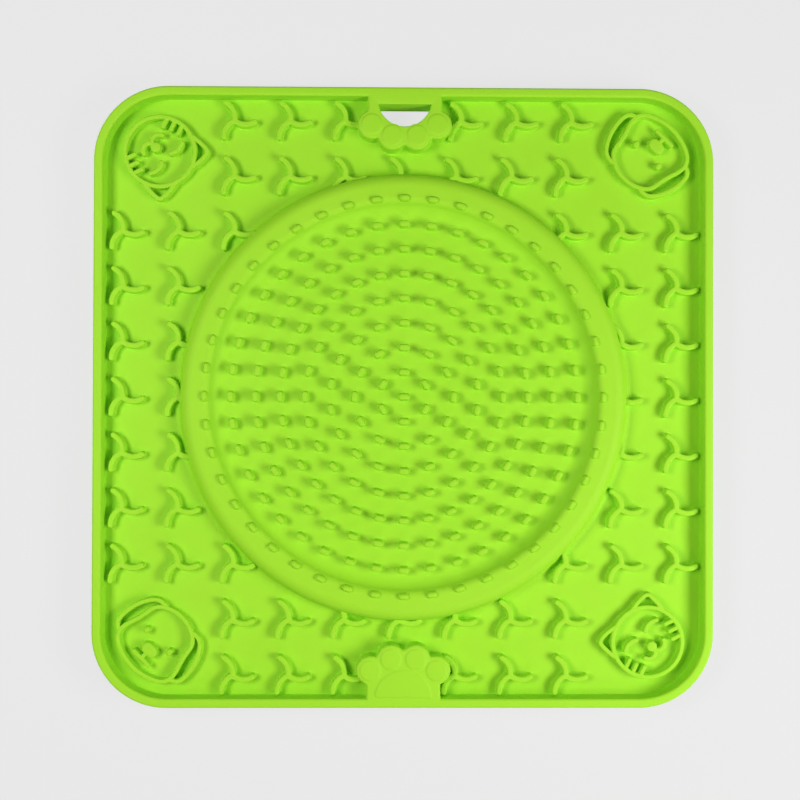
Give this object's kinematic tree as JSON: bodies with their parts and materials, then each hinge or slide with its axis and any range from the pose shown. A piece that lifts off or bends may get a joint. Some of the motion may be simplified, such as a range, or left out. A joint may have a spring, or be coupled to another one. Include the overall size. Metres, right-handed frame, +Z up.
{
  "type": "lick mat",
  "caption": "Square moulded silicone lick mat with a low rim, a ridged tray, a raised ring round a nubbed bowl, animal heads in the corners, a hanging hole and suction cups.",
  "frame": {"origin": "middle of the mat, on the surface that its suction cups stand on", "axes": "+X to the right and +Y to the back, where the hanging hole is, as the picture shows it from above; +Z up"},
  "size_m": [0.2, 0.2, 0.0121],
  "materials": {
    "silicone": "satin moulded lime green silicone"
  },
  "bodies": {
    "root": {"base_sheet": "silicone", "rim": "silicone", "bowl_ring": "silicone", "bowl_floor": "silicone", "nub_centre": "silicone", "nub_ring_1": "silicone", "nub_ring_2": "silicone", "nub_ring_3": "silicone", "nub_ring_4": "silicone", "nub_ring_5": "silicone", "nub_ring_6": "silicone", "nub_ring_7": "silicone", "nub_ring_crown": "silicone", "ridges_back": "silicone", "ridges_front": "silicone", "ridges_left": "silicone", "ridges_right": "silicone", "cat_outline_back_left": "silicone", "cat_features_back_left": "silicone", "cat_outline_front_right": "silicone", "cat_features_front_right": "silicone", "dog_outline_back_right": "silicone", "dog_features_back_right": "silicone", "dog_outline_front_left": "silicone", "dog_features_front_left": "silicone", "hanging_paw": "silicone", "front_paw": "silicone", "hanging_paw_toes": "silicone", "front_paw_toes": "silicone", "front_paw_palm": "silicone", "suction_cups_corner": "silicone", "suction_cups_side": "silicone"}
  },
  "joints": []
}
